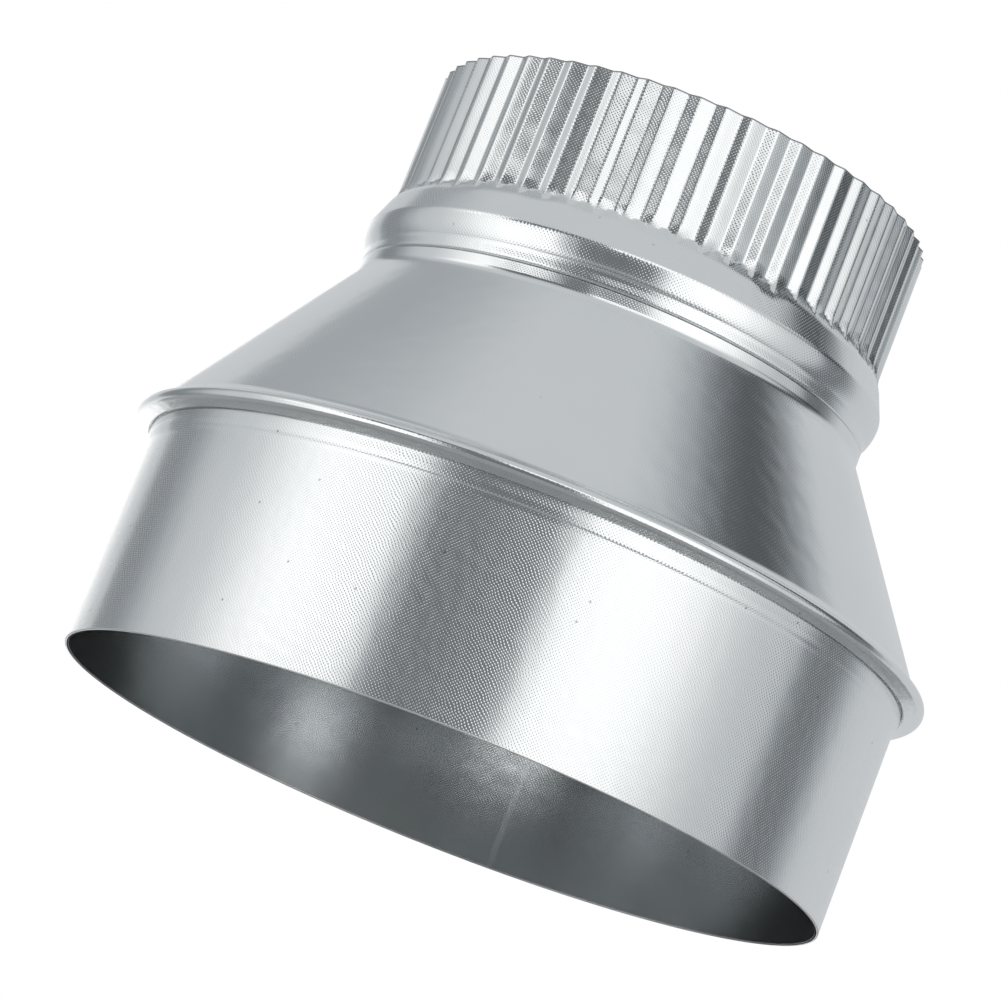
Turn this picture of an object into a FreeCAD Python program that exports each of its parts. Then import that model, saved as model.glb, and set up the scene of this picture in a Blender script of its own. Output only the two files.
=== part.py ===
import FreeCAD, Part
import math
import os

# Round duct reducer, 6 in to 4 in, in galvanised sheet. Millimetres, +Z up along the duct's axis.
# The origin is the centre of the open large end, which stands on Z = 0. The crimped end is on top.

# Sheet and the two duct sizes
sheet = 0.7
large_bore = 152.4
small_pipe_bore = 101.6
crimp_clearance = 0.2

# Heights, stacked from the open large end to the crimped rim
plain_height = 40.2
band_height = 6.0
cone_height = 41.4
neck_length = 2.7
bead_lift = 7.1
bead_to_crimp = 5.8
crimp_length = 28.8

# Large collar: a raised band under the seam, and a flange that the seam holds
band_rise = 0.5
band_joggle = 1.5

# Rolled lock seam round the foot of the cone
seam_reach = 4.0
roll_radius = 1.25
foot_fillet = 5.0
hem_slope = 12.0
hem_clearance = 0.4
lock_gap = 0.05

# Neck, a little wider than the small pipe's bore, where the small collar is let into the cone and
# steps out over the cone's raw edge
neck_rise = 1.55
neck_fit = 0.05
lip_length = 3.0
shoulder_rise = 0.45

# Bead of the small collar, which stops the pipe's edge
bead_rise = 1.4
bead_round = 5.0
bead_foot = 3.0
bead_shoulder_slope = 23.3

# Crimped end: flutes that rise steeply and fall gently round the collar
flute_count = 60
flute_depth = 0.7
flute_rise_share = 0.4
flute_phase = 3.6
runout_height = 4.3
groove_end_height = 1.8

# Round bends are drawn as flats with their corners on the round, none further than this from it
bend_tolerance = 0.17
# The flutes' flat-sided foot laps the round sheet below it by at least this much on both faces
foot_step = 0.06

# Worked out from the sizes above
seam_level = plain_height + band_height
neck_level = seam_level + cone_height
neck_edge = neck_level + neck_length
bead_level = neck_edge + bead_lift
crimp_start = bead_level + bead_to_crimp
overall_height = crimp_start + crimp_length
crest_radius = small_pipe_bore / 2 - crimp_clearance
valley_radius = crest_radius - flute_depth
neck_wall_radius = small_pipe_bore / 2 + neck_rise
bead_crest_radius = neck_wall_radius + bead_rise
band_radius = large_bore / 2 + sheet + band_rise
roll_radius_middle = roll_radius - sheet / 2
roll_centre = (band_radius + seam_reach - roll_radius, seam_level)
cone_angle = math.degrees(math.atan2(roll_centre[0] - neck_wall_radius, cone_height))
cone_setback = sheet / 2 * math.tan(math.radians(cone_angle / 2))


def direction(heading):
    """Unit vector (radius, height) of a heading in degrees, 0 outward and 90 up."""
    angle = math.radians(heading)
    return FreeCAD.Vector(math.cos(angle), math.sin(angle), 0)


def mitred(before, corner, after, shift):
    """Corner of a flat outline after both of its sides move to their left by the shift."""
    first = (corner - before).normalize()
    second = (after - corner).normalize()
    first_normal = FreeCAD.Vector(-first.y, first.x, 0)
    second_normal = FreeCAD.Vector(-second.y, second.x, 0)
    middle = first_normal + second_normal
    return corner + middle * (shift / middle.dot(first_normal))


class SheetLine:
    """Section of a bent sheet as radii and heights, drawn along the middle of its thickness."""

    def __init__(self, radius, height, heading):
        self.points = [FreeCAD.Vector(radius, height, 0)]
        self.heading = heading

    def run(self, length):
        """Straight stretch along the present heading."""
        self.points.append(self.points[-1] + direction(self.heading) * length)
        return self

    def run_to(self, height):
        """Straight stretch up or down to a height."""
        return self.run((height - self.points[-1].y) / direction(self.heading).y)

    def turn(self, angle):
        """Sharp corner, to the left for a positive angle."""
        self.heading += angle
        return self

    def bend(self, radius, angle):
        """Round corner, to the left for a positive angle, as few flats as the tolerance allows."""
        widest = math.degrees(2 * math.acos(1 - bend_tolerance / radius))
        flats = math.ceil(abs(angle) / widest)
        step = angle / flats
        for _ in range(flats):
            self.turn(step / 2)
            self.run(2 * radius * math.sin(math.radians(abs(step) / 2)))
            self.turn(step / 2)
        return self

    def face(self):
        """Closed section of the sheet in the XZ plane."""
        line = self.points
        padded = [line[0] * 2 - line[1]] + line + [line[-1] * 2 - line[-2]]
        left = [mitred(*padded[i:i + 3], sheet / 2) for i in range(len(line))]
        right = [mitred(*padded[i:i + 3], -sheet / 2) for i in range(len(line))]
        outline = [FreeCAD.Vector(point.x, 0, point.y) for point in left + right[::-1]]
        return Part.Face(Part.makePolygon(outline + outline[:1]))

    def spun(self):
        """Solid of the section turned once round the duct's axis."""
        turned = self.face().revolve(FreeCAD.Vector(0, 0, 0), FreeCAD.Vector(0, 0, 1), 360)
        return turned.Solids[0]


def large_collar():
    """Plain collar of the large end, with its band and the flange that the seam holds."""
    line = SheetLine(large_bore / 2 + sheet / 2, 0, 90)
    line.run_to(plain_height)
    slant = math.degrees(math.atan2(band_rise, band_joggle))
    line.turn(-slant).run_to(plain_height + band_joggle).turn(slant)
    # The flange lies on the returned edge of the cone, at the same slope, one gap away.
    drop = roll_radius - sheet - lock_gap - sheet / 2
    flange_end = FreeCAD.Vector(*roll_centre, 0) - direction(90 + hem_slope) * drop
    flange_end = flange_end - direction(hem_slope) * (sheet / 2)
    corner = flange_end.y - (flange_end.x - line.points[-1].x) * math.tan(math.radians(hem_slope))
    line.run_to(corner).turn(hem_slope - 90).run_to(flange_end.y)
    return line.spun()


def cone():
    """Taper with a short neck on top and its foot rolled round the collar's flange."""
    line = SheetLine(neck_wall_radius - sheet / 2, neck_edge, 270)
    line.run_to(neck_level - cone_setback).turn(cone_angle)
    # The outer face of the taper aims at the centre of the roll, and a hollow fillet joins the two.
    slant = math.hypot(roll_centre[0] - neck_wall_radius, cone_height)
    fillet_start = math.sqrt((foot_fillet + roll_radius) ** 2 - foot_fillet**2)
    line.run(slant + cone_setback - fillet_start)
    line.bend(foot_fillet + sheet / 2, math.degrees(math.atan2(fillet_start, foot_fillet)))
    line.bend(roll_radius_middle, 180 + hem_slope - line.heading)
    edge = band_radius + hem_clearance
    line.run((line.points[-1].x - edge) / math.cos(math.radians(hem_slope)))
    return line.spun()


def collar_body():
    """Round part of the small collar: the lip inside the cone, the shoulder on its edge and the bead."""
    wall = neck_wall_radius - sheet / 2
    inner_wall = wall - sheet - neck_fit
    # The lip keeps one fit away from the taper, so their corners lie on one mitre.
    corner = neck_level - (2 * sheet + 2 * neck_fit + sheet) / sheet * cone_setback
    lip = direction(90 + cone_angle) * lip_length
    line = SheetLine(inner_wall - lip.x, corner - lip.y, 90 + cone_angle)
    line.run(lip_length).turn(-cone_angle)
    step = math.degrees(math.atan2(wall - inner_wall, shoulder_rise))
    step_start = neck_edge + neck_fit + sheet / 2 * math.tan(math.radians(step / 2))
    line.run_to(step_start).turn(-step).run_to(step_start + shoulder_rise).turn(step)
    foot_turn = math.acos(1 - bead_rise / (bead_round + bead_foot))
    line.run_to(bead_level - (bead_round + bead_foot) * math.sin(foot_turn))
    foot_turn = math.degrees(foot_turn)
    line.bend(bead_foot + sheet / 2, -foot_turn)
    line.bend(bead_round - sheet / 2, foot_turn + bead_shoulder_slope)
    line.run_to(shoulder_start() + 2 * sheet)
    return line.spun()


def shoulder_start():
    """Height at which the round of the bead passes into the shoulder that carries the flutes."""
    return bead_level + bead_round * math.sin(math.radians(bead_shoulder_slope))


def shoulder_radius():
    """Outer radius where the bead's shoulder reaches the first flutes."""
    slope = math.radians(bead_shoulder_slope)
    start_radius = bead_crest_radius - bead_round * (1 - math.cos(slope))
    return start_radius - (crimp_start - shoulder_start()) * math.tan(slope)


def crest_path(height):
    """Outer radius of the flutes' crests at a height, an arc that turns upright above the run-out."""
    spread = shoulder_radius() - crest_radius
    arc = (runout_height**2 + spread**2) / (2 * spread)
    below = max(crimp_start + runout_height - height, 0)
    return crest_radius + arc - math.sqrt(arc**2 - below**2)


def flute_points(inset):
    """Valleys and crests of the fluted section round the axis, each face moved inward by the inset."""
    pitch = 360 / flute_count
    corners = []
    for i in range(flute_count):
        crest = -90 + flute_phase + i * pitch
        corners.append(direction(crest - flute_rise_share * pitch) * valley_radius)
        corners.append(direction(crest) * crest_radius)
    count = len(corners)
    corners = [mitred(corners[i - 1], corners[i], corners[(i + 1) % count], inset) for i in range(count)]
    return corners[0::2], corners[1::2]


def raised(points, scale, height):
    """Ring of points drawn larger or smaller about the axis and lifted to a height."""
    return [point * scale + FreeCAD.Vector(0, 0, height) for point in points]


def panel(*points):
    """Flat face between points."""
    return Part.Face(Part.makePolygon(list(points) + [points[0]]))


def fluted_core(inset, foot_radius, foot, bottom, top):
    """Solid inside the flutes' outer faces, or inside their inner faces where the inset is the sheet.

    The crests start at the foot. The grooves end above it on slopes from crest to crest. Below the
    foot the solid follows the slope of the bead's shoulder.
    """
    valleys, crests = flute_points(inset)
    groove_end = foot + groove_end_height
    scale = crest_path(groove_end) / crest_radius
    foot_scale = foot_radius / crests[0].Length
    spread = (foot - bottom) * math.tan(math.radians(bead_shoulder_slope))
    bottom_ring = raised(crests, (foot_radius + spread) / crests[0].Length, bottom)
    tips = raised(crests, foot_scale, foot)
    levels = ((scale, groove_end), (1, crimp_start + runout_height), (1, top))
    valley_rings = [raised(valleys, *level) for level in levels]
    crest_rings = [raised(crests, *level) for level in levels]
    faces = [panel(*bottom_ring)]
    rim = []
    for i in range(flute_count):
        before = i - 1
        faces.append(panel(bottom_ring[before], bottom_ring[i], tips[i], tips[before]))
        faces.append(panel(tips[before], tips[i], valley_rings[0][i]))
        faces.append(panel(tips[i], crest_rings[0][i], valley_rings[0][i]))
        faces.append(panel(tips[before], valley_rings[0][i], crest_rings[0][before]))
        for k in (0, 1):
            low, high = valley_rings[k][i], valley_rings[k + 1][i]
            faces.append(panel(low, crest_rings[k][i], crest_rings[k + 1][i], high))
            faces.append(panel(low, crest_rings[k][before], crest_rings[k + 1][before], high))
        rim.append(valley_rings[-1][i])
        rim.append(crest_rings[-1][i])
    faces.append(panel(*rim))
    return Part.makeSolid(Part.makeShell(faces))


def small_collar():
    """Crimped collar of the small end, one sheet with its bead, shoulder and lip."""
    slope = math.radians(bead_shoulder_slope)
    bottom = shoulder_start() + sheet / 2
    # The flat sides of the foot clear the round sheet by the step, and its corners by a little more.
    outer_foot = (shoulder_radius() + foot_step) / math.cos(math.pi / flute_count)
    outside = fluted_core(0, outer_foot, crimp_start, bottom, overall_height)
    # The inner faces start square across the sheet from the outer ones.
    inner_foot = shoulder_radius() - sheet * math.cos(slope) - foot_step
    inner_start = crimp_start - sheet * math.sin(slope)
    inside = fluted_core(sheet, inner_foot, inner_start, bottom - sheet, overall_height + sheet)
    joined = collar_body().fuse(outside.cut(inside)).removeSplitter()
    return joined.Solids[0]


def write(name, solid):
    solid.exportStep(os.path.join("parts", name + ".step"))


os.makedirs("parts", exist_ok=True)
write("large_collar", large_collar())
write("cone", cone())
write("small_collar", small_collar())
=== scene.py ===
"""Round sheet-metal duct reducer: the dressed model over its frame, its studio and its camera.

Everything is in metres in the row frame: +Z up along the duct's axis, the large open end on Z = 0,
and -Y towards the viewer. Fields that hold angles are in degrees. Sections are drawn as radius
and height.
"""

import logging
import math
from dataclasses import dataclass, field
from enum import Enum
from typing import Sequence, Union

import bpy
import numpy as np
from mathutils import Matrix, Vector

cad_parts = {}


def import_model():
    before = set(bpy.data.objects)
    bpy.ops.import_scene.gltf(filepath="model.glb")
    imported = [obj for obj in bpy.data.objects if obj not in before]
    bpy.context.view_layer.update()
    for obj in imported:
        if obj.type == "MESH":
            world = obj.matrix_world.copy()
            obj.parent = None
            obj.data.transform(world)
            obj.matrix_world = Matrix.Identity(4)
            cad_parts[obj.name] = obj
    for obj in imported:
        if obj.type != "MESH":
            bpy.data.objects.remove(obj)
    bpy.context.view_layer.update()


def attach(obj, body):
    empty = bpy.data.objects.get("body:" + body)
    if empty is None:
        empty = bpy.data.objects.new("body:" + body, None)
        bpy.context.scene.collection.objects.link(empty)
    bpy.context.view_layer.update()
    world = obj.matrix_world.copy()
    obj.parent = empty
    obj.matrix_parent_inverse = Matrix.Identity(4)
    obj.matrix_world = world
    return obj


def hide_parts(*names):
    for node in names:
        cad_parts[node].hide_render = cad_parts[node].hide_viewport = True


MM = 0.001
Colour = tuple[float, float, float]
Span = tuple[float, float]
WHITE = (1.0, 1.0, 1.0)
EDGE_TURNS = (30.0, 60.0, 90.0)
log = logging.getLogger("duct_reducer")


# Shader graphs


class Value:
    """A number or colour that runs through a node tree, usable in plain arithmetic."""

    def __init__(self, graph: "Graph", socket: bpy.types.NodeSocket) -> None:
        """Wrap a socket of the graph's tree."""
        self.graph = graph
        self.socket = socket

    def _math(self, operation: str, *others: "Term") -> "Value":
        """Math node of this value and others."""
        return self.graph.math(operation, self, *others)

    def __add__(self, other: "Term") -> "Value":
        """Sum."""
        return self._math("ADD", other)

    def __radd__(self, other: "Term") -> "Value":
        """Sum with the number on the left."""
        return self.graph.math("ADD", other, self)

    def __sub__(self, other: "Term") -> "Value":
        """Difference."""
        return self._math("SUBTRACT", other)

    def __rsub__(self, other: "Term") -> "Value":
        """Difference with the number on the left."""
        return self.graph.math("SUBTRACT", other, self)

    def __mul__(self, other: "Term") -> "Value":
        """Product."""
        return self._math("MULTIPLY", other)

    def __rmul__(self, other: "Term") -> "Value":
        """Product with the number on the left."""
        return self.graph.math("MULTIPLY", other, self)

    def __neg__(self) -> "Value":
        """Opposite."""
        return self._math("MULTIPLY", -1.0)

    def __abs__(self) -> "Value":
        """Size without its sign."""
        return self._math("ABSOLUTE")

    def sine(self) -> "Value":
        """Sine of an angle in radians."""
        return self._math("SINE")

    def step(self, start: float, end: float) -> "Value":
        """Smooth rise from 0 at the start to 1 at the end, or a fall where the end is lower.

        Args:
            start: Value at which the rise begins.
            end: Value at which it is complete.

        Returns:
            The risen value, from 0 to 1.
        """
        low, high = min(start, end), max(start, end)
        node = self.graph.node(
            "ShaderNodeMapRange",
            {"interpolation_type": "SMOOTHSTEP"},
            {"Value": self, "From Min": low, "From Max": high},
        )
        risen = Value(self.graph, node.outputs["Result"])
        return risen if end > start else 1.0 - risen


Term = Union[Value, float, int]


class Graph:
    """Node tree of one material or of the world, filled by expressions."""

    def __init__(self, tree: bpy.types.NodeTree) -> None:
        """Start from an empty tree."""
        self.tree = tree
        tree.nodes.clear()

    def node(self, kind: str, settings: dict, inputs: dict) -> bpy.types.Node:
        """Add a node.

        Args:
            kind: Node type, such as ShaderNodeMath.
            settings: Values of the node's own settings, set before its sockets.
            inputs: Numbers, tuples, values or sockets for its inputs, by name or index.

        Returns:
            The new node.
        """
        made = self.tree.nodes.new(kind)
        for name, setting in settings.items():
            setattr(made, name, setting)
        for name, given in inputs.items():
            self.feed(made.inputs[name], given)
        return made

    def feed(self, socket: bpy.types.NodeSocket, given: object) -> None:
        """Link a value to a socket, or set the socket's own number or colour."""
        if isinstance(given, Value):
            given = given.socket
        if isinstance(given, bpy.types.NodeSocket):
            self.tree.links.new(given, socket)
        else:
            socket.default_value = given

    def math(self, operation: str, *terms: Term) -> Value:
        """Math node of up to three terms."""
        node = self.node("ShaderNodeMath", {"operation": operation}, dict(enumerate(terms)))
        return Value(self, node.outputs[0])

    def parts(self, vector: bpy.types.NodeSocket, axes: str = "XYZ") -> tuple[Value, ...]:
        """The named coordinates of a vector."""
        node = self.node("ShaderNodeSeparateXYZ", {}, {"Vector": vector})
        return tuple(Value(self, node.outputs[axis]) for axis in axes)

    def mix_colour(self, share: Term, first: object, second: object) -> Value:
        """Colour that goes from the first to the second as the share goes from 0 to 1."""
        node = self.node("ShaderNodeMix", {"data_type": "RGBA"}, {0: share, 6: first, 7: second})
        return Value(self, node.outputs[2])

    def object_point(self) -> tuple[Value, ...]:
        """Coordinates of the shaded point in the row frame."""
        return self.parts(self.node("ShaderNodeTexCoord", {}, {}).outputs["Object"])

    def vector(self, x: Term, y: Term, z: Term) -> bpy.types.NodeSocket:
        """Vector of three values."""
        return self.node("ShaderNodeCombineXYZ", {}, {"X": x, "Y": y, "Z": z}).outputs[0]

    def noise(self, vector: bpy.types.NodeSocket, scale: float, detail: float) -> Value:
        """Smooth noise around 0, from about -0.5 to 0.5."""
        inputs = {"Vector": vector, "Scale": scale, "Detail": detail, "Roughness": 0.5}
        node = self.node("ShaderNodeTexNoise", {}, inputs)
        return Value(self, node.outputs["Fac"]) - 0.5


def opaque(colour: Colour) -> tuple[float, float, float, float]:
    """Colour as a socket takes it."""
    return (*colour, 1.0)


# Finishes


@dataclass(frozen=True)
class GalvanisedSteel:
    """Bright zinc-coated sheet with the fine linen grain that its rolls leave."""

    radius: float
    colour: Colour = (0.8, 0.815, 0.82)
    roughness: float = 0.1
    cloud_colour: Colour = (0.73, 0.76, 0.765)
    cloud_scale: float = 38.0
    cloud_span: Span = (0.35, 0.75)
    cloud_share: float = 0.35
    cloud_roughness: float = 0.04
    grain_pitch: float = 0.74 * MM
    grain_slope: float = 0.165
    grain_inside: float = 0.3
    wander_scale: float = 520.0
    wander_around: float = 3.6
    wander_up: float = 1.3
    dullness_inside: float = 0.02
    ripple_scale: float = 260.0
    ripple_slope: float = 0.006
    weld_azimuth: float = 78.5
    weld_width: float = 1.6 * MM
    weld_height: float = 0.002 * MM
    weld_pitch: float = 1.1 * MM
    weld_lean: float = 3.0
    weld_bead_share: float = 0.1
    weld_colour: Colour = (0.86, 0.875, 0.88)
    weld_share: float = 0.15
    weld_roughness: float = 0.04
    speck_radius: float = 0.32 * MM
    speck_scale: float = 75.0
    speck_chance: Span = (0.68, 0.7)
    speck_colour: Colour = (0.25, 0.26, 0.27)
    speck_strength: float = 0.65
    cut_height: float = 0.4 * MM
    cut_roughness: float = 0.35
    edge_colour: Colour = (0.9, 0.9, 0.9)
    # Dark colour of the top band of the crimped rim: partly the sheared edge's burr, partly painted
    # shade along the rim.
    burr_and_painted_shade_colour: Colour = (0.3, 0.31, 0.32)
    top: float = 132.0 * MM

    def material(self, name: str) -> bpy.types.Material:
        """Build the finish.

        Args:
            name: Name of the new material.

        Returns:
            The material.
        """
        made = bpy.data.materials.new(name)
        made.use_nodes = True
        graph = Graph(made.node_tree)
        x, y, z = graph.object_point()
        azimuth = graph.math("ARCTAN2", y, x)
        around = azimuth * self.radius
        place = graph.vector(x, y, z)
        outside = self._outside(graph, x, y)
        weld = self._weld(graph, azimuth)
        speck = self._specks(graph, around, z) * self.speck_strength
        cloud = graph.noise(place, self.cloud_scale, 1.0) + 0.5
        cut = z.step(self.cut_height, 0.0)
        # Darker, rougher band at the top of the crimped rim: a burr on the sheared edge, and
        # painted shade for the dark line along the rim.
        rim_burr_and_painted_shade = z.step(self.top - self.cut_height, self.top - 0.6 * self.cut_height)

        beads = ((around + z * self.weld_lean) * (2 * math.pi / self.weld_pitch)).sine() * weld
        grain_share = outside * (1.0 - self.grain_inside) + self.grain_inside
        height = self._grain(graph, azimuth, z, place) * grain_share
        height = height + weld * self.weld_height
        height = height + beads * (self.weld_bead_share * self.weld_height)
        ripple = graph.noise(place, self.ripple_scale, 0.0)
        height = height + ripple * (self.ripple_slope / self.ripple_scale)
        inputs = {"Height": height, "Distance": 1.0, "Strength": 1.0}
        bump = graph.node("ShaderNodeBump", {}, inputs)

        clouded = cloud.step(*self.cloud_span) * self.cloud_share
        colour = graph.mix_colour(clouded, opaque(self.colour), opaque(self.cloud_colour))
        for share, tint in (
            (weld * self.weld_share, self.weld_colour),
            (speck, self.speck_colour),
            (cut, self.edge_colour),
            (rim_burr_and_painted_shade, self.burr_and_painted_shade_colour),
        ):
            colour = graph.mix_colour(share, colour, opaque(tint))
        roughness = self.roughness + cloud * self.cloud_roughness + weld * self.weld_roughness
        roughness = roughness + (cut + rim_burr_and_painted_shade) * self.cut_roughness
        roughness = roughness + (1.0 - outside) * self.dullness_inside
        inputs = {"Base Color": colour, "Metallic": 1.0, "Roughness": roughness}
        inputs["Normal"] = bump.outputs[0]
        shader = graph.node("ShaderNodeBsdfPrincipled", {}, inputs)
        graph.node("ShaderNodeOutputMaterial", {}, {"Surface": shader.outputs[0]})
        return made

    def _grain(self, graph: Graph, azimuth: Value, z: Value, place: bpy.types.NodeSocket) -> Value:
        """Height of the linen grain: small round bumps in slanting rows, a little irregular."""
        count = round(2 * math.pi * self.radius / self.grain_pitch)
        wander = graph.noise(place, self.wander_scale, 0.0) * self.wander_around
        across = (azimuth * count + wander).sine()
        up = (z * (2 * math.pi / self.grain_pitch) + wander * self.wander_up).sine()
        bump = graph.math("MAXIMUM", across * up, 0.0)
        return bump * bump * (self.grain_slope * self.grain_pitch / (2 * math.pi))

    def _outside(self, graph: Graph, x: Value, y: Value) -> Value:
        """1 on faces that look away from the duct's axis, 0 on the others."""
        facing = graph.node("ShaderNodeNewGeometry", {}, {})
        across, deep = graph.parts(facing.outputs["True Normal"], "XY")
        return graph.math("GREATER_THAN", across * x + deep * y, 0.0)

    def _weld(self, graph: Graph, azimuth: Value) -> Value:
        """1 along the welded seam of the rolled sheet, 0 away from it."""
        away = abs(azimuth - math.radians(self.weld_azimuth)) * self.radius
        return away.step(0.5 * self.weld_width, 0.3 * self.weld_width)

    def _specks(self, graph: Graph, around: Value, z: Value) -> Value:
        """1 on a few small pits in the zinc, 0 elsewhere."""
        inputs = {"Vector": graph.vector(around, z, 0.0), "Scale": self.speck_scale}
        cells = graph.node("ShaderNodeTexVoronoi", {"voronoi_dimensions": "2D"}, inputs)
        near = Value(graph, cells.outputs["Distance"])
        pick = graph.node("ShaderNodeSeparateColor", {}, {"Color": cells.outputs["Color"]})
        chosen = Value(graph, pick.outputs[0]).step(*self.speck_chance)
        size = self.speck_radius * self.speck_scale
        return near.step(size, 0.5 * size) * chosen


# Forms


class Edge(Enum):
    """How an end of a sheet is finished."""

    SHEARED = 0.12 * MM


@dataclass
class SheetSection:
    """Section of a bent sheet, drawn along the middle of its thickness."""

    thickness: float
    radius: float
    height: float
    heading: float
    arc_step: float = 8.0
    run_step: float = 4.0 * MM
    edge: Edge = Edge.SHEARED
    line: list = field(default_factory=list)

    def __post_init__(self) -> None:
        """Put down the first point."""
        self.place = np.array([self.radius, self.height])
        self._mark()

    def _mark(self) -> None:
        """Keep the present point and heading."""
        self.line.append((self.place.copy(), self.heading))

    def run(self, length: float) -> "SheetSection":
        """Straight stretch along the present heading."""
        steps = max(1, math.ceil(length / self.run_step))
        for _ in range(steps):
            self.place = self.place + unit(self.heading) * (length / steps)
            self._mark()
        return self

    def run_to(self, height: float) -> "SheetSection":
        """Straight stretch up or down to a height."""
        return self.run((height - self.place[1]) / unit(self.heading)[1])

    def bend(self, radius: float, angle: float) -> "SheetSection":
        """Round stretch about a centre on the left for a positive angle.

        Args:
            radius: Radius of the middle line.
            angle: Turn in degrees.

        Returns:
            The section, to be drawn on.
        """
        side = math.copysign(1.0, angle)
        centre = self.place + unit(self.heading + 90 * side) * radius
        steps = max(2, math.ceil(abs(angle) / self.arc_step))
        for _ in range(steps):
            self.heading += angle / steps
            self.place = centre - unit(self.heading + 90 * side) * radius
            self._mark()
        return self

    def joggle(self, offset: float, radius: float) -> "SheetSection":
        """Sideways step to the right by two equal and opposite bends."""
        turn = math.degrees(math.acos(1 - offset / (2 * radius)))
        return self.bend(radius, -turn).bend(radius, turn)

    def side(self, sign: int) -> tuple[np.ndarray, np.ndarray]:
        """Points and normals of one face of the sheet, without its two edges.

        Args:
            sign: 1 for the left face, -1 for the right one.

        Returns:
            Points and unit normals, in the order of the line.
        """
        normals = np.array([unit(heading + 90) * sign for _, heading in self.line])
        points = np.array([place for place, _ in self.line]) + normals * (self.thickness / 2)
        back = self.edge.value
        points[0] += unit(self.line[0][1]) * back
        points[-1] -= unit(self.line[-1][1]) * back
        return points, normals

    def cap(self, at_end: bool) -> tuple[np.ndarray, np.ndarray]:
        """Points and normals round one edge of the sheet, from its left face to its right one."""
        place, heading = self.line[-1] if at_end else self.line[0]
        ahead = unit(heading) if at_end else -unit(heading)
        return edge_round(place, ahead, unit(heading + 90), self.thickness, self.edge.value)

    def outline(self) -> tuple[np.ndarray, np.ndarray]:
        """Closed outline and its normals: left face up, edge, right face down, edge."""
        left, left_normals = self.side(1)
        right, right_normals = self.side(-1)
        top, top_normals = self.cap(True)
        foot, foot_normals = self.cap(False)
        points = np.vstack([left, top, right[::-1], foot[::-1]])
        normals = np.vstack([left_normals, top_normals, right_normals[::-1], foot_normals[::-1]])
        return points, normals


def unit(heading: float) -> np.ndarray:
    """Direction as (radius, height) of a heading in degrees, 0 outward and 90 up."""
    angle = math.radians(heading)
    return np.array([math.cos(angle), math.sin(angle)])


def edge_round(
    place: np.ndarray, ahead: np.ndarray, left: np.ndarray, thickness: float, corner: float
) -> tuple[np.ndarray, np.ndarray]:
    """Rounded corners of a sheet's edge.

    Args:
        place: Middle of the edge.
        ahead: Direction that the edge faces.
        left: Direction of the face that the outline comes from.
        thickness: Thickness of the sheet.
        corner: Radius of the two corners.

    Returns:
        Points and normals from the left face to the other one.
    """
    points, normals = [], []
    for side in (1.0, -1.0):
        centre = place - ahead * corner + left * (side * (thickness / 2 - corner))
        for turn in EDGE_TURNS if side > 0 else EDGE_TURNS[::-1]:
            angle = math.radians(turn)
            normal = left * (side * math.cos(angle)) + ahead * math.sin(angle)
            points.append(centre + normal * corner)
            normals.append(normal)
    return np.array(points), np.array(normals)


def spun(
    points: np.ndarray, normals: np.ndarray, angles: np.ndarray
) -> tuple[np.ndarray, np.ndarray]:
    """Rows of points and normals of a section turned round the axis.

    Args:
        points: Section as radius and height, one row each.
        normals: Normals of the section.
        angles: Azimuths of the columns, in radians.

    Returns:
        Points and normals as arrays of rows, columns and coordinates.
    """
    cos, sin = np.cos(angles)[None, :], np.sin(angles)[None, :]
    level = np.ones_like(cos)
    place = np.stack([points[:, :1] * cos, points[:, :1] * sin, points[:, 1:] * level], -1)
    facing = np.stack([normals[:, :1] * cos, normals[:, :1] * sin, normals[:, 1:] * level], -1)
    return place, facing


def ring_mesh(
    name: str, points: np.ndarray, normals: np.ndarray, material: bpy.types.Material
) -> bpy.types.Object:
    """Closed piece from rows of points round the axis, joined round both ways.

    Args:
        name: Name of the new object.
        points: Rows, columns and coordinates.
        normals: Exact normals at the points.
        material: Finish of the piece.

    Returns:
        The new object, linked to the scene.
    """
    rows, columns = points.shape[:2]
    index = np.arange(rows * columns).reshape(rows, columns)
    below, right = np.roll(index, -1, 0), np.roll(index, -1, 1)
    faces = np.stack([index, right, np.roll(below, -1, 1), below], -1).reshape(-1, 4)
    flat_points, flat_normals = points.reshape(-1, 3), normals.reshape(-1, 3)
    corners = flat_points[faces[0]]
    facing = np.cross(corners[1] - corners[0], corners[3] - corners[0])
    if facing.dot(flat_normals[faces[0, 0]]) < 0:
        faces = faces[:, ::-1]
    mesh = bpy.data.meshes.new(name)
    mesh.from_pydata(flat_points.tolist(), [], faces.tolist())
    mesh.polygons.foreach_set("use_smooth", np.ones(len(faces), bool))
    mesh.normals_split_custom_set_from_vertices(flat_normals.tolist())
    mesh.materials.append(material)
    piece = bpy.data.objects.new(name, mesh)
    bpy.context.scene.collection.objects.link(piece)
    return piece


# The duct's three sheets


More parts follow.
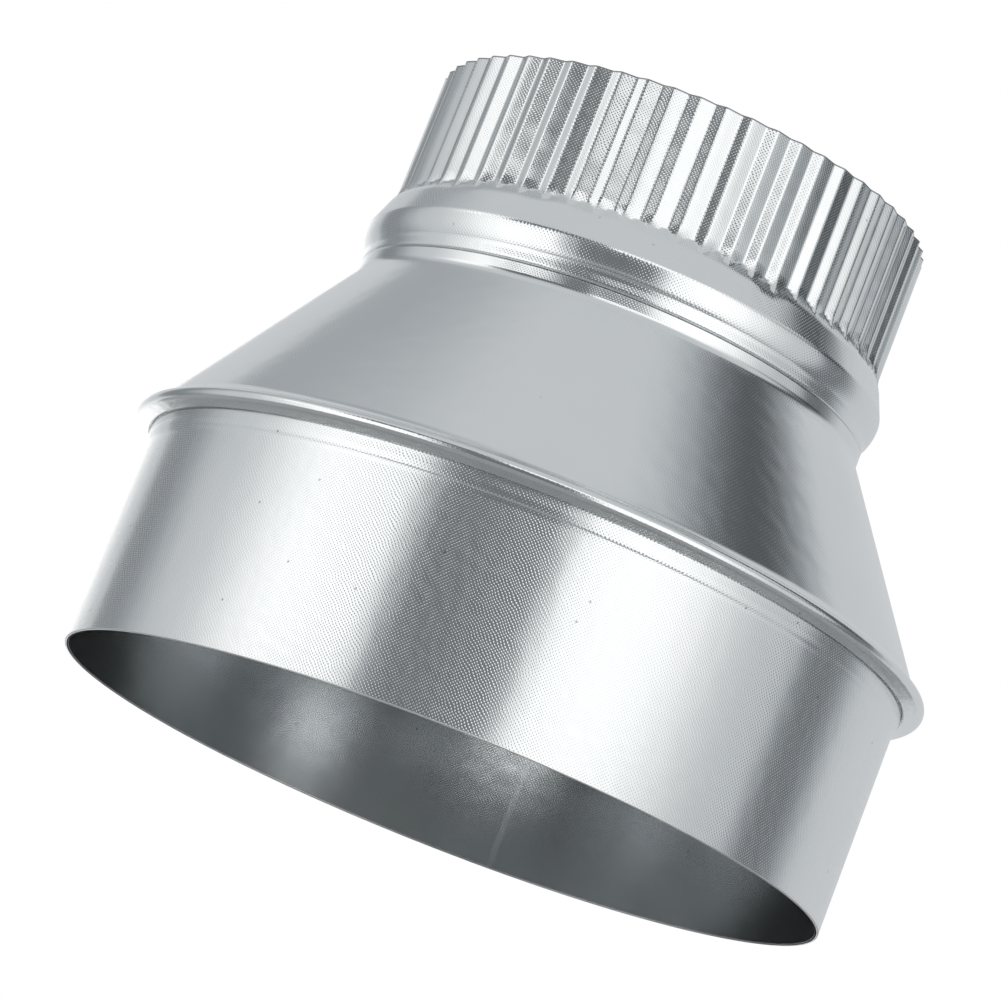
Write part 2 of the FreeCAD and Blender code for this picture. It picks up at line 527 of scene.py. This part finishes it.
@dataclass(frozen=True)
class DuctSizes:
    """Driving sizes of the fitting, the same as those of its solids."""

    sheet: float = 0.7 * MM
    large_bore: float = 152.4 * MM
    small_pipe_bore: float = 101.6 * MM
    crimp_clearance: float = 0.2 * MM
    plain_height: float = 40.2 * MM
    band_height: float = 6.0 * MM
    cone_height: float = 41.4 * MM
    neck_length: float = 2.7 * MM
    bead_lift: float = 7.1 * MM
    bead_to_crimp: float = 5.8 * MM
    crimp_length: float = 28.8 * MM
    band_rise: float = 0.5 * MM
    seam_reach: float = 3.9 * MM
    roll_radius: float = 1.25 * MM
    hem_slope: float = 12.0
    lock_gap: float = 0.05 * MM
    neck_rise: float = 1.55 * MM
    neck_bend: float = 3.0 * MM
    bead_rise: float = 1.4 * MM
    bead_round: float = 5.0 * MM
    shoulder_slope: float = 23.3
    flute_count: int = 60
    flute_depth: float = 0.7 * MM
    flute_phase: float = 3.6

    @property
    def seam_level(self) -> float:
        """Height of the middle of the rolled seam."""
        return self.plain_height + self.band_height

    @property
    def neck_level(self) -> float:
        """Height at which the taper turns into the neck."""
        return self.seam_level + self.cone_height

    @property
    def neck_edge(self) -> float:
        """Height of the cone's raw edge."""
        return self.neck_level + self.neck_length

    @property
    def bead_level(self) -> float:
        """Height of the widest part of the bead."""
        return self.neck_edge + self.bead_lift

    @property
    def crimp_start(self) -> float:
        """Height at which the crests of the flutes begin."""
        return self.bead_level + self.bead_to_crimp

    @property
    def overall_height(self) -> float:
        """Height of the crimped rim."""
        return self.crimp_start + self.crimp_length

    @property
    def band_radius(self) -> float:
        """Outer radius of the raised band."""
        return self.large_bore / 2 + self.sheet + self.band_rise

    @property
    def neck_radius(self) -> float:
        """Outer radius of the neck."""
        return self.small_pipe_bore / 2 + self.neck_rise

    @property
    def roll_centre(self) -> np.ndarray:
        """Centre of the rolled seam's section."""
        return np.array([self.band_radius + self.seam_reach - self.roll_radius, self.seam_level])

    @property
    def cone_angle(self) -> float:
        """Slope of the taper from upright, in degrees."""
        return math.degrees(math.atan2(self.roll_centre[0] - self.neck_radius, self.cone_height))


@dataclass
class LargeCollar:
    """Plain collar of the large end, with its raised band and the flange inside the seam."""

    sizes: DuctSizes
    finish: GalvanisedSteel
    columns: int = 400
    band_bend: float = 3.0 * MM
    flange_bend: float = 0.4 * MM
    flange_stop: float = 0.3 * MM

    def section(self) -> SheetSection:
        """Section from the open rim up to the end of the flange."""
        s = self.sizes
        half = s.sheet / 2
        line = SheetSection(s.sheet, s.large_bore / 2 + half, 0.0, 90.0)
        line.run(s.plain_height).joggle(s.band_rise, self.band_bend + half)
        drop = s.roll_radius - s.sheet - s.lock_gap - half
        slope = math.radians(s.hem_slope)
        end = s.roll_centre - unit(90 + s.hem_slope) * drop - unit(s.hem_slope) * self.flange_stop
        corner = end[1] - (end[0] - line.place[0]) * math.tan(slope)
        setback = (self.flange_bend + half) * math.tan(math.radians(45 - s.hem_slope / 2))
        line.run_to(corner - setback).bend(self.flange_bend + half, s.hem_slope - 90)
        return line.run((end[0] - line.place[0]) / math.cos(slope))

    def build(self) -> bpy.types.Object:
        """Make and dress the collar."""
        angles = np.linspace(0, 2 * math.pi, self.columns, endpoint=False)
        points, normals = self.section().outline()
        material = self.finish.material("galvanised_large_collar")
        return ring_mesh("large_collar_sheet", *spun(points, normals, angles), material)


@dataclass
class Cone:
    """Taper with its short neck, and its foot rolled round the collar's flange."""

    sizes: DuctSizes
    finish: GalvanisedSteel
    columns: int = 400
    foot_fillet: float = 5.0 * MM
    hem_clearance: float = 0.4 * MM

    def section(self) -> SheetSection:
        """Section from the neck's raw edge down to the edge of the returned hem."""
        s = self.sizes
        half = s.sheet / 2
        tangent = s.neck_bend * math.tan(math.radians(s.cone_angle / 2))
        line = SheetSection(s.sheet, s.neck_radius - half, s.neck_edge, 270.0)
        line.run(s.neck_length - tangent).bend(s.neck_bend + half, s.cone_angle)
        slant = math.hypot(s.roll_centre[0] - s.neck_radius, s.cone_height)
        fillet_start = math.sqrt((self.foot_fillet + s.roll_radius) ** 2 - self.foot_fillet**2)
        line.run(slant - tangent - fillet_start)
        line.bend(self.foot_fillet + half, math.degrees(math.atan2(fillet_start, self.foot_fillet)))
        line.bend(s.roll_radius - half, 180 + s.hem_slope - line.heading)
        edge = s.band_radius + self.hem_clearance
        return line.run((line.place[0] - edge) / math.cos(math.radians(s.hem_slope)))

    def build(self) -> bpy.types.Object:
        """Make and dress the cone."""
        angles = np.linspace(0, 2 * math.pi, self.columns, endpoint=False)
        points, normals = self.section().outline()
        material = self.finish.material("galvanised_cone")
        return ring_mesh("cone_sheet", *spun(points, normals, angles), material)


@dataclass
class SmallCollar:
    """Small collar: its lip in the cone, shoulder on the cone's edge, bead and crimped end."""

    sizes: DuctSizes
    finish: GalvanisedSteel
    neck_fit: float = 0.05 * MM
    lip_length: float = 3.0 * MM
    shoulder_bend: float = 0.15 * MM
    bead_foot: float = 2.0 * MM
    bead_front: float = 8.0 * MM
    bead_top: float = 2.5 * MM
    runout_height: float = 4.3 * MM
    valley_deepening: float = 0.1 * MM
    rise_share: float = 0.395
    groove_end_height: float = 2.5 * MM
    corner_half_width: float = 0.34 * MM
    corner_samples: int = 9
    flute_blend: float = 0.12 * MM
    shoulder_blend: float = 0.2 * MM
    pitch_scatter: float = 0.007
    depth_scatter: float = 0.03
    groove_end_scatter: float = 0.12 * MM
    slope_rounds: int = 20
    shoulder_margin: Span = (0.4 * MM, 0.6 * MM)
    shoulder_rows: int = 4
    groove_end_rows: tuple[float, float, int] = (-0.4 * MM, 2.6 * MM, 15)
    runout_rows: tuple[float, float, int] = (2.9 * MM, 5.0 * MM, 7)
    flute_start: float = 8.0 * MM
    flute_rows: int = 6
    corner_columns: tuple[float, ...] = (-1.0, -0.4, 0.4, 1.0)
    seed: int = 4

    def section(self) -> SheetSection:
        """Round part of the section, from the lip up to the foot of the flutes."""
        s = self.sizes
        half = s.sheet / 2
        up_cone = 90 + s.cone_angle
        bend_radius = s.neck_bend + s.sheet + self.neck_fit + half
        tangent = s.neck_bend * math.tan(math.radians(s.cone_angle / 2))
        bend_centre = np.array([s.neck_radius + s.neck_bend, s.neck_level + tangent])
        start = bend_centre + unit(up_cone + 90) * bend_radius - unit(up_cone) * self.lip_length
        line = SheetSection(s.sheet, start[0], start[1], up_cone)
        line.run(self.lip_length).bend(bend_radius, -s.cone_angle)
        line.run_to(s.neck_edge + self.neck_fit)
        line.joggle(s.sheet + self.neck_fit, self.shoulder_bend + half)
        turn = math.acos(1 - s.bead_rise / (self.bead_front + self.bead_foot))
        line.run_to(s.bead_level - (self.bead_front + self.bead_foot) * math.sin(turn))
        line.bend(self.bead_foot + half, -math.degrees(turn))
        line.bend(self.bead_front - half, math.degrees(turn))
        return line.bend(self.bead_top - half, math.degrees(self.slope))

    def __post_init__(self) -> None:
        """Work out the sizes of the crimp, and each flute's small departures from the pattern."""
        s = self.sizes
        slope = math.radians(s.shoulder_slope)
        start = s.bead_level + s.bead_round * math.sin(slope)
        crest = s.neck_radius + s.bead_rise
        drop = s.bead_round * (1 - math.cos(slope)) + (s.crimp_start - start) * math.tan(slope)
        self.shoulder_radius = crest - drop
        self.slope = 2 * math.atan(drop / s.bead_to_crimp)
        for _ in range(self.slope_rounds):
            start = s.bead_level + self.bead_top * math.sin(self.slope)
            fallen = drop - self.bead_top * (1 - math.cos(self.slope))
            self.slope = math.atan2(fallen, s.crimp_start - start)
        self.shoulder_start = start
        self.crest_radius = s.small_pipe_bore / 2 - s.crimp_clearance
        spread = self.shoulder_radius - self.crest_radius
        self.crest_arc = (self.runout_height**2 + spread**2) / (2 * spread)
        chance = np.random.default_rng(self.seed)
        pitch = 2 * math.pi / s.flute_count
        crests = math.radians(s.flute_phase - 90) + pitch * np.arange(s.flute_count)
        valleys = crests - self.rise_share * pitch
        crests = crests + chance.normal(0, self.pitch_scatter, s.flute_count) * pitch
        valleys = valleys + chance.normal(0, self.pitch_scatter, s.flute_count) * pitch
        crest_radii = np.full(s.flute_count, self.crest_radius)
        depth = s.flute_depth + self.valley_deepening
        uneven = chance.normal(0, self.depth_scatter, s.flute_count)
        valley_radii = self.crest_radius - depth * (1 + uneven)
        self.corner_angles = np.stack([valleys, crests], -1).ravel()
        self.corner_radii = np.stack([valley_radii, crest_radii], -1).ravel()
        self.end_lift = np.repeat(chance.normal(0, self.groove_end_scatter, s.flute_count), 2)

    def round_about(self, angles: np.ndarray, values: np.ndarray) -> np.ndarray:
        """Values given at the flutes' corners, read off round the axis at other azimuths."""
        return np.interp(angles, self.corner_angles, values, period=2 * math.pi)

    def fluted(self, angles: np.ndarray) -> np.ndarray:
        """Radius of the crimp high up, its corners rounded by a mean over a short arc."""
        reach = self.corner_half_width / self.crest_radius
        turns = np.linspace(-reach, reach, self.corner_samples)
        return np.mean([self.round_about(angles + turn, self.corner_radii) for turn in turns], 0)

    def outer_radius(self, angles: np.ndarray, height: np.ndarray) -> np.ndarray:
        """Outer radius of the collar above the bead.

        Args:
            angles: Azimuths.
            height: Heights.

        Returns:
            Radii where the shoulder, the grooves' ends and the flutes meet in soft corners.
        """
        s = self.sizes
        above = height - s.crimp_start
        shoulder = self.shoulder_radius - above * math.tan(self.slope)
        left = np.maximum(self.runout_height - np.maximum(above, 0), 0)
        crest = self.crest_radius + self.crest_arc - np.sqrt(self.crest_arc**2 - left**2)
        high_up = self.fluted(angles)
        crest_share = np.clip(1 - (self.crest_radius - high_up) / s.flute_depth, 0, 1)
        flutes = high_up + (crest - self.crest_radius) * crest_share
        valley_end = self.crest_radius - s.flute_depth
        steep = (self.shoulder_radius - valley_end) / self.groove_end_height
        lifted = above - self.round_about(angles, self.end_lift)
        groove_end = self.shoulder_radius - lifted * steep
        body = -soft_peak(-shoulder, -groove_end, self.shoulder_blend)
        return soft_peak(flutes, body, self.flute_blend)

    def row_heights(self) -> np.ndarray:
        """Heights of the rows above the bead, close together where the grooves end."""
        low = self.sizes.crimp_start
        top = self.sizes.overall_height - Edge.SHEARED.value
        over_bead, under_crimp = self.shoulder_margin
        start = self.shoulder_start + over_bead
        bands = [np.linspace(start, low - under_crimp, self.shoulder_rows)]
        for first, last, count in (self.groove_end_rows, self.runout_rows):
            bands.append(np.linspace(low + first, low + last, count))
        bands.append(np.linspace(low + self.flute_start, top, self.flute_rows))
        return np.concatenate(bands)

    def crimp_rows(self, angles: np.ndarray) -> tuple[np.ndarray, np.ndarray]:
        """Points and normals of the outer face from the shoulder to just under the rim."""
        turn, level = np.meshgrid(angles, self.row_heights())
        radius = self.outer_radius(turn, level)
        by_angle, by_height = self.slopes(turn, level)
        cos, sin = np.cos(turn), np.sin(turn)
        points = np.stack([radius * cos, radius * sin, level], -1)
        across = (radius * cos + by_angle * sin, radius * sin - by_angle * cos)
        normals = np.stack([*across, -radius * by_height], -1)
        return points, normals / np.linalg.norm(normals, axis=-1, keepdims=True)

    def slopes(self, turn: np.ndarray, level: np.ndarray) -> tuple[np.ndarray, np.ndarray]:
        """Change of the outer radius with the azimuth and with the height."""
        tiny_turn, tiny_level = 1e-5, 1e-6
        further, nearer = (self.outer_radius(turn + t, level) for t in (tiny_turn, -tiny_turn))
        upper, lower = (self.outer_radius(turn, level + t) for t in (tiny_level, -tiny_level))
        return (further - nearer) / (2 * tiny_turn), (upper - lower) / (2 * tiny_level)

    def rim_rows(self, points: np.ndarray, normals: np.ndarray) -> tuple[np.ndarray, np.ndarray]:
        """Rounded raw edge above the crimp's last row, from the outer face to the inner one."""
        up = np.array([0.0, 0.0, 1.0])
        corner, thickness = Edge.SHEARED.value, self.sizes.sheet
        rows, facings = [], []
        faces = ((corner, 1, EDGE_TURNS), (thickness - corner, -1, EDGE_TURNS[::-1]))
        for inset, outward, turns in faces:
            for turn in map(math.radians, turns):
                facing = normals * (outward * math.cos(turn)) + up * math.sin(turn)
                rows.append(points - normals * inset + facing * corner)
                facings.append(facing)
        return np.array(rows), np.array(facings)

    def columns(self) -> np.ndarray:
        """Azimuths of the mesh's columns, close together at each corner of the flutes."""
        width = self.corner_half_width / self.crest_radius
        corners = self.corner_angles
        ahead = np.append(corners[1:], corners[0] + 2 * math.pi)
        close = corners[:, None] + width * np.array(self.corner_columns)
        return np.sort(np.append(close, (corners + ahead) / 2))

    def build(self) -> bpy.types.Object:
        """Make and dress the small collar."""
        angles = self.columns()
        section = self.section()
        outer = spun(*section.side(-1), angles)
        inner = spun(*section.side(1), angles)
        foot = spun(*section.cap(False), angles)
        crimp, facing = self.crimp_rows(angles)
        rim, rim_facing = self.rim_rows(crimp[-1], facing[-1])
        lining = crimp - facing * self.sizes.sheet
        points = np.vstack([outer[0], crimp, rim, lining[::-1], inner[0][::-1], foot[0]])
        sides = [outer[1], facing, rim_facing, -facing[::-1], inner[1][::-1], foot[1]]
        normals = np.vstack(sides)
        material = self.finish.material("galvanised_small_collar")
        return ring_mesh("small_collar_sheet", points, normals, material)


def soft_peak(first: np.ndarray, second: np.ndarray, blend: float) -> np.ndarray:
    """Greater of two values, with a round of the given size where they are close."""
    closeness = np.maximum(blend - np.abs(first - second), 0) / blend
    return np.maximum(first, second) + closeness**2 * (blend / 4)


# Studio


@dataclass(frozen=True)
class Softbox:
    """Upright lit sheet of the studio.

    Its azimuths are those at which it starts, is full, is full no more, and ends.
    """

    azimuths: tuple[float, float, float, float]
    level: float
    foot: Span = (-46.0, -38.0)
    head: Span = (16.2, 17.4)

    def share(self, azimuth: Value, elevation: Value) -> Value:
        """1 where the sheet is full, falling off softly to 0 round it."""
        start, full_start, full_end, end = self.azimuths
        across = azimuth.step(start, full_start) * azimuth.step(end, full_end)
        return across * elevation.step(*self.foot) * elevation.step(*self.head[::-1])


@dataclass(frozen=True)
class Flag:
    """Dark band that leans over the studio, in the plane of two directions.

    Directions are given as azimuth and elevation, and the sides as angles from the plane.
    """

    low: Span
    high: Span
    left: Span
    right: Span
    level: float
    level_above: float
    front: Span = (0.1, 0.5)

    def share(self, x: Value, y: Value, z: Value) -> Value:
        """1 on the band, falling off softly to 0 on both sides of it.

        Args:
            x: Sideways part of the direction.
            y: Part of the direction away from the viewer.
            z: Upward part of the direction.

        Returns:
            The band's share.
        """
        first, second = sky(*self.low), sky(*self.high)
        normal = second.cross(first).normalized()
        toward = Vector((first.x, first.y, 0.0)).normalized()
        away = x * normal.x + y * normal.y + z * normal.z
        ahead = x * toward.x + y * toward.y
        outer, inner = (math.sin(math.radians(side)) for side in self.left)
        inner_right, outer_right = (math.sin(math.radians(side)) for side in self.right)
        across = away.step(-outer, -inner) * away.step(outer_right, inner_right)
        return across * ahead.step(*self.front)


def sky(azimuth: float, elevation: float) -> Vector:
    """Unit direction of an azimuth, 0 toward the viewer and 90 to the right, and an elevation."""
    turn, rise = math.radians(azimuth), math.radians(elevation)
    flat = math.cos(rise)
    return Vector((math.sin(turn) * flat, -math.cos(turn) * flat, math.sin(rise)))


UPPER_FOOT = (16.2, 17.4)
UPPER_HEAD = (26.0, 42.0)
SOFTBOXES = (
    Softbox((-98.0, -60.0, -42.0, -26.0), 1.3),
    Softbox((4.0, 16.0, 36.0, 72.0), 1.3),
    Softbox((-100.0, -80.0, -70.0, -62.0), 1.25, UPPER_FOOT, UPPER_HEAD),
    Softbox((-24.0, -16.0, 28.0, 64.0), 1.25, UPPER_FOOT, UPPER_HEAD),
    Softbox((-200.0, -190.0, -170.0, -142.0), 1.25, head=(14.0, 20.0)),
    Softbox((104.0, 118.0, 160.0, 176.0), 3.8, (-57.0, -52.0), (-52.0, -47.0)),
    Softbox((-125.0, -102.0, -84.0, -68.0), 0.9, (-54.0, -47.0), (-42.0, -36.0)),
)
GAPS = (
    Softbox((-42.0, -26.0, 1.0, 12.0), 0.3, (-36.0, -28.0)),
    Softbox((-66.0, -60.0, -21.0, -14.0), 0.24, UPPER_FOOT, UPPER_HEAD),
    Softbox((-55.0, -22.0, 34.0, 56.0), 0.45, (-91.0, -90.0), (-39.0, -33.0)),
    Softbox((46.0, 88.0, 104.0, 118.0), 0.4, UPPER_FOOT, (24.0, 34.0)),
)
FLAGS = (
    Flag(
        low=(-131.0, 11.0),
        high=(-132.0, 45.0),
        left=(12.0, 4.0),
        right=(3.0, 28.0),
        level=0.42,
        level_above=0.68,
    ),
    Flag(
        low=(99.0, 11.0),
        high=(104.0, 60.0),
        left=(17.0, 5.0),
        right=(3.0, 22.0),
        level=0.3,
        level_above=0.16,
    ),
)


@dataclass
class Studio:
    """World with soft sheets and flags round the object, and a pale floor under it."""

    dome_level: float = 0.675
    ground_level: float = 0.26
    ground_fade: Span = (-28.0, -46.0)
    flag_fade: Span = (15.0, 45.0)
    dim_tint: Colour = (0.88, 0.95, 1.0)
    tinted_levels: Span = (0.1, 1.15)
    softboxes: Sequence[Softbox] = SOFTBOXES
    gaps: Sequence[Softbox] = GAPS
    flags: Sequence[Flag] = FLAGS
    floor_size: float = 3.0
    floor_colour: Colour = (0.6, 0.6, 0.6)
    floor_seen_colour: Colour = (0.95, 0.95, 0.95)
    floor_brightening: float = 0.2
    floor_fade: Span = (0.14, 0.42)
    opening_radius: float = 0.076
    bounce_radius: float = 0.16

    def build(self) -> None:
        """Make the world and the floor."""
        self._world()
        self._floor()

    def _world(self) -> None:
        """Sky of the studio: white to the camera, the softly lit studio to all else."""
        world = bpy.data.worlds.new("studio")
        bpy.context.scene.world = world
        world.use_nodes = True
        graph = Graph(world.node_tree)
        coordinates = graph.node("ShaderNodeTexCoord", {}, {})
        level = self._pattern(graph, *graph.parts(coordinates.outputs["Generated"]))
        bright = level.step(*self.tinted_levels)
        tint = graph.mix_colour(bright, opaque(self.dim_tint), opaque(WHITE))
        studio = graph.node("ShaderNodeBackground", {}, {"Color": tint, "Strength": level})
        white = {"Color": opaque(WHITE), "Strength": 1.0}
        backdrop = graph.node("ShaderNodeBackground", {}, white)
        seen = graph.node("ShaderNodeLightPath", {}, {}).outputs["Is Camera Ray"]
        inputs = {0: seen, 1: studio.outputs[0], 2: backdrop.outputs[0]}
        mixed = graph.node("ShaderNodeMixShader", {}, inputs)
        graph.node("ShaderNodeOutputWorld", {}, {"Surface": mixed.outputs[0]})

    def _pattern(self, graph: Graph, x: Value, y: Value, z: Value) -> Value:
        """Light level of the studio by direction.

        Args:
            graph: The world's graph.
            x: Sideways part of the direction.
            y: Part of the direction away from the viewer.
            z: Upward part of the direction.

        Returns:
            Strength of the sky.
        """
        azimuth = graph.math("ARCTAN2", x, -y) * (180 / math.pi)
        elevation = graph.math("ARCSINE", z) * (180 / math.pi)
        ground = elevation.step(*self.ground_fade)
        level = self.dome_level * (1.0 - ground * (1.0 - self.ground_level))
        for box in self.softboxes:
            level = level + box.share(azimuth, elevation) * (box.level - self.dome_level)
        for gap in self.gaps:
            level = level * (1.0 - gap.share(azimuth, elevation) * (1.0 - gap.level))
        for flag in self.flags:
            above = elevation.step(*self.flag_fade)
            depth = 1.0 - flag.level + above * (flag.level - flag.level_above)
            level = level * (1.0 - flag.share(x, y, z) * depth)
        return level

    def _floor(self) -> bpy.types.Object:
        """Pale floor that only shows from above and lets light through under the open end."""
        half = self.floor_size / 2
        mesh = bpy.data.meshes.new("floor")
        corners = [(-half, -half, 0.0), (half, -half, 0.0), (half, half, 0.0), (-half, half, 0.0)]
        mesh.from_pydata(corners, [], [(0, 1, 2, 3)])
        floor = bpy.data.objects.new("floor", mesh)
        bpy.context.scene.collection.objects.link(floor)
        material = bpy.data.materials.new("floor")
        material.use_nodes = True
        graph = Graph(material.node_tree)
        x, y, _ = graph.object_point()
        ray = graph.node("ShaderNodeLightPath", {}, {})
        seen = Value(graph, ray.outputs["Is Camera Ray"])
        far = graph.math("SQRT", x * x + y * y)
        colour = graph.mix_colour(seen, opaque(self.floor_colour), opaque(self.floor_seen_colour))
        paint = graph.node("ShaderNodeBsdfDiffuse", {}, {"Color": colour})
        glow = graph.node("ShaderNodeEmission", {}, {"Color": opaque(WHITE), "Strength": 1.0})
        share = self.floor_brightening + far.step(*self.floor_fade) * (1.0 - self.floor_brightening)
        inputs = {0: seen * share, 1: paint.outputs[0], 2: glow.outputs[0]}
        bright = graph.node("ShaderNodeMixShader", {}, inputs)
        clear = graph.node("ShaderNodeBsdfTransparent", {}, {})
        side = graph.node("ShaderNodeNewGeometry", {}, {})
        below = Value(graph, side.outputs["Backfacing"])
        ring = (self.opening_radius + self.bounce_radius) / 2
        ring_half_width = (self.bounce_radius - self.opening_radius) / 2
        bounce = graph.math("LESS_THAN", abs(far - ring), ring_half_width)
        hidden = graph.math("MAXIMUM", below, (1.0 - bounce) * (1.0 - seen))
        inputs = {0: hidden, 1: bright.outputs[0], 2: clear.outputs[0]}
        mixed = graph.node("ShaderNodeMixShader", {}, inputs)
        graph.node("ShaderNodeOutputMaterial", {}, {"Surface": mixed.outputs[0]})
        mesh.materials.append(material)
        return floor


@dataclass(frozen=True)
class PhotoCamera:
    """Camera of the view: low, looking up, and rolled so that the duct leans to the right."""

    distance: float = 787.2 * MM
    height: float = -115.7 * MM
    yaw: float = -0.706
    pitch: float = -12.411
    roll: float = 0.691
    lean: float = 21.0
    focal_pixels: float = 4155.5
    frame_pixels: int = 1001
    sensor: float = 36.0
    clip_start: float = 10.0 * MM

    def build(self) -> None:
        """Make the camera and give it to the scene."""
        base = Matrix(((1, 0, 0), (0, 0, -1), (0, 1, 0)))
        turn = Matrix.Rotation(math.radians(self.yaw), 3, "Y").transposed()
        tilt = Matrix.Rotation(math.radians(self.pitch), 3, "X")
        roll = Matrix.Rotation(math.radians(self.roll + self.lean), 3, "Z")
        right, down, forward = roll @ tilt @ turn @ base
        camera = bpy.data.cameras.new("photo_camera")
        camera.sensor_width = self.sensor
        camera.lens = self.sensor * self.focal_pixels / self.frame_pixels
        camera.clip_start = self.clip_start
        holder = bpy.data.objects.new("photo_camera", camera)
        bpy.context.scene.collection.objects.link(holder)
        axes = Matrix((right, -down, -forward)).transposed().to_4x4()
        axes.translation = Vector((0.0, -self.distance, self.height))
        holder.matrix_world = axes
        bpy.context.scene.camera = holder


def report(name: str, piece: bpy.types.Object) -> None:
    """Log a piece that was made."""
    log.info("%s: %d faces", name, len(piece.data.polygons))


def main() -> None:
    """Build the duct's sheets over the frame, then the studio and the camera."""
    logging.basicConfig(level=logging.INFO, format="%(message)s")
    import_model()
    sizes = DuctSizes()
    wide = GalvanisedSteel(radius=sizes.band_radius)
    taper = GalvanisedSteel(
        radius=(sizes.band_radius + sizes.neck_radius) / 2,
        grain_slope=0.07,
        ripple_slope=0.009,
        speck_strength=0.12,
    )
    narrow = GalvanisedSteel(radius=sizes.neck_radius, grain_slope=0.15, speck_strength=0.3)
    builders = (
        ("large_collar", LargeCollar(sizes, wide)),
        ("cone", Cone(sizes, taper)),
        ("small_collar", SmallCollar(sizes, narrow)),
    )
    for node, builder in builders:
        piece = builder.build()
        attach(piece, "root")
        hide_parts(node)
        report(node, piece)
    Studio().build()
    PhotoCamera().build()
    bpy.context.scene.view_settings.view_transform = "Standard"


if __name__ == "__main__":
    main()
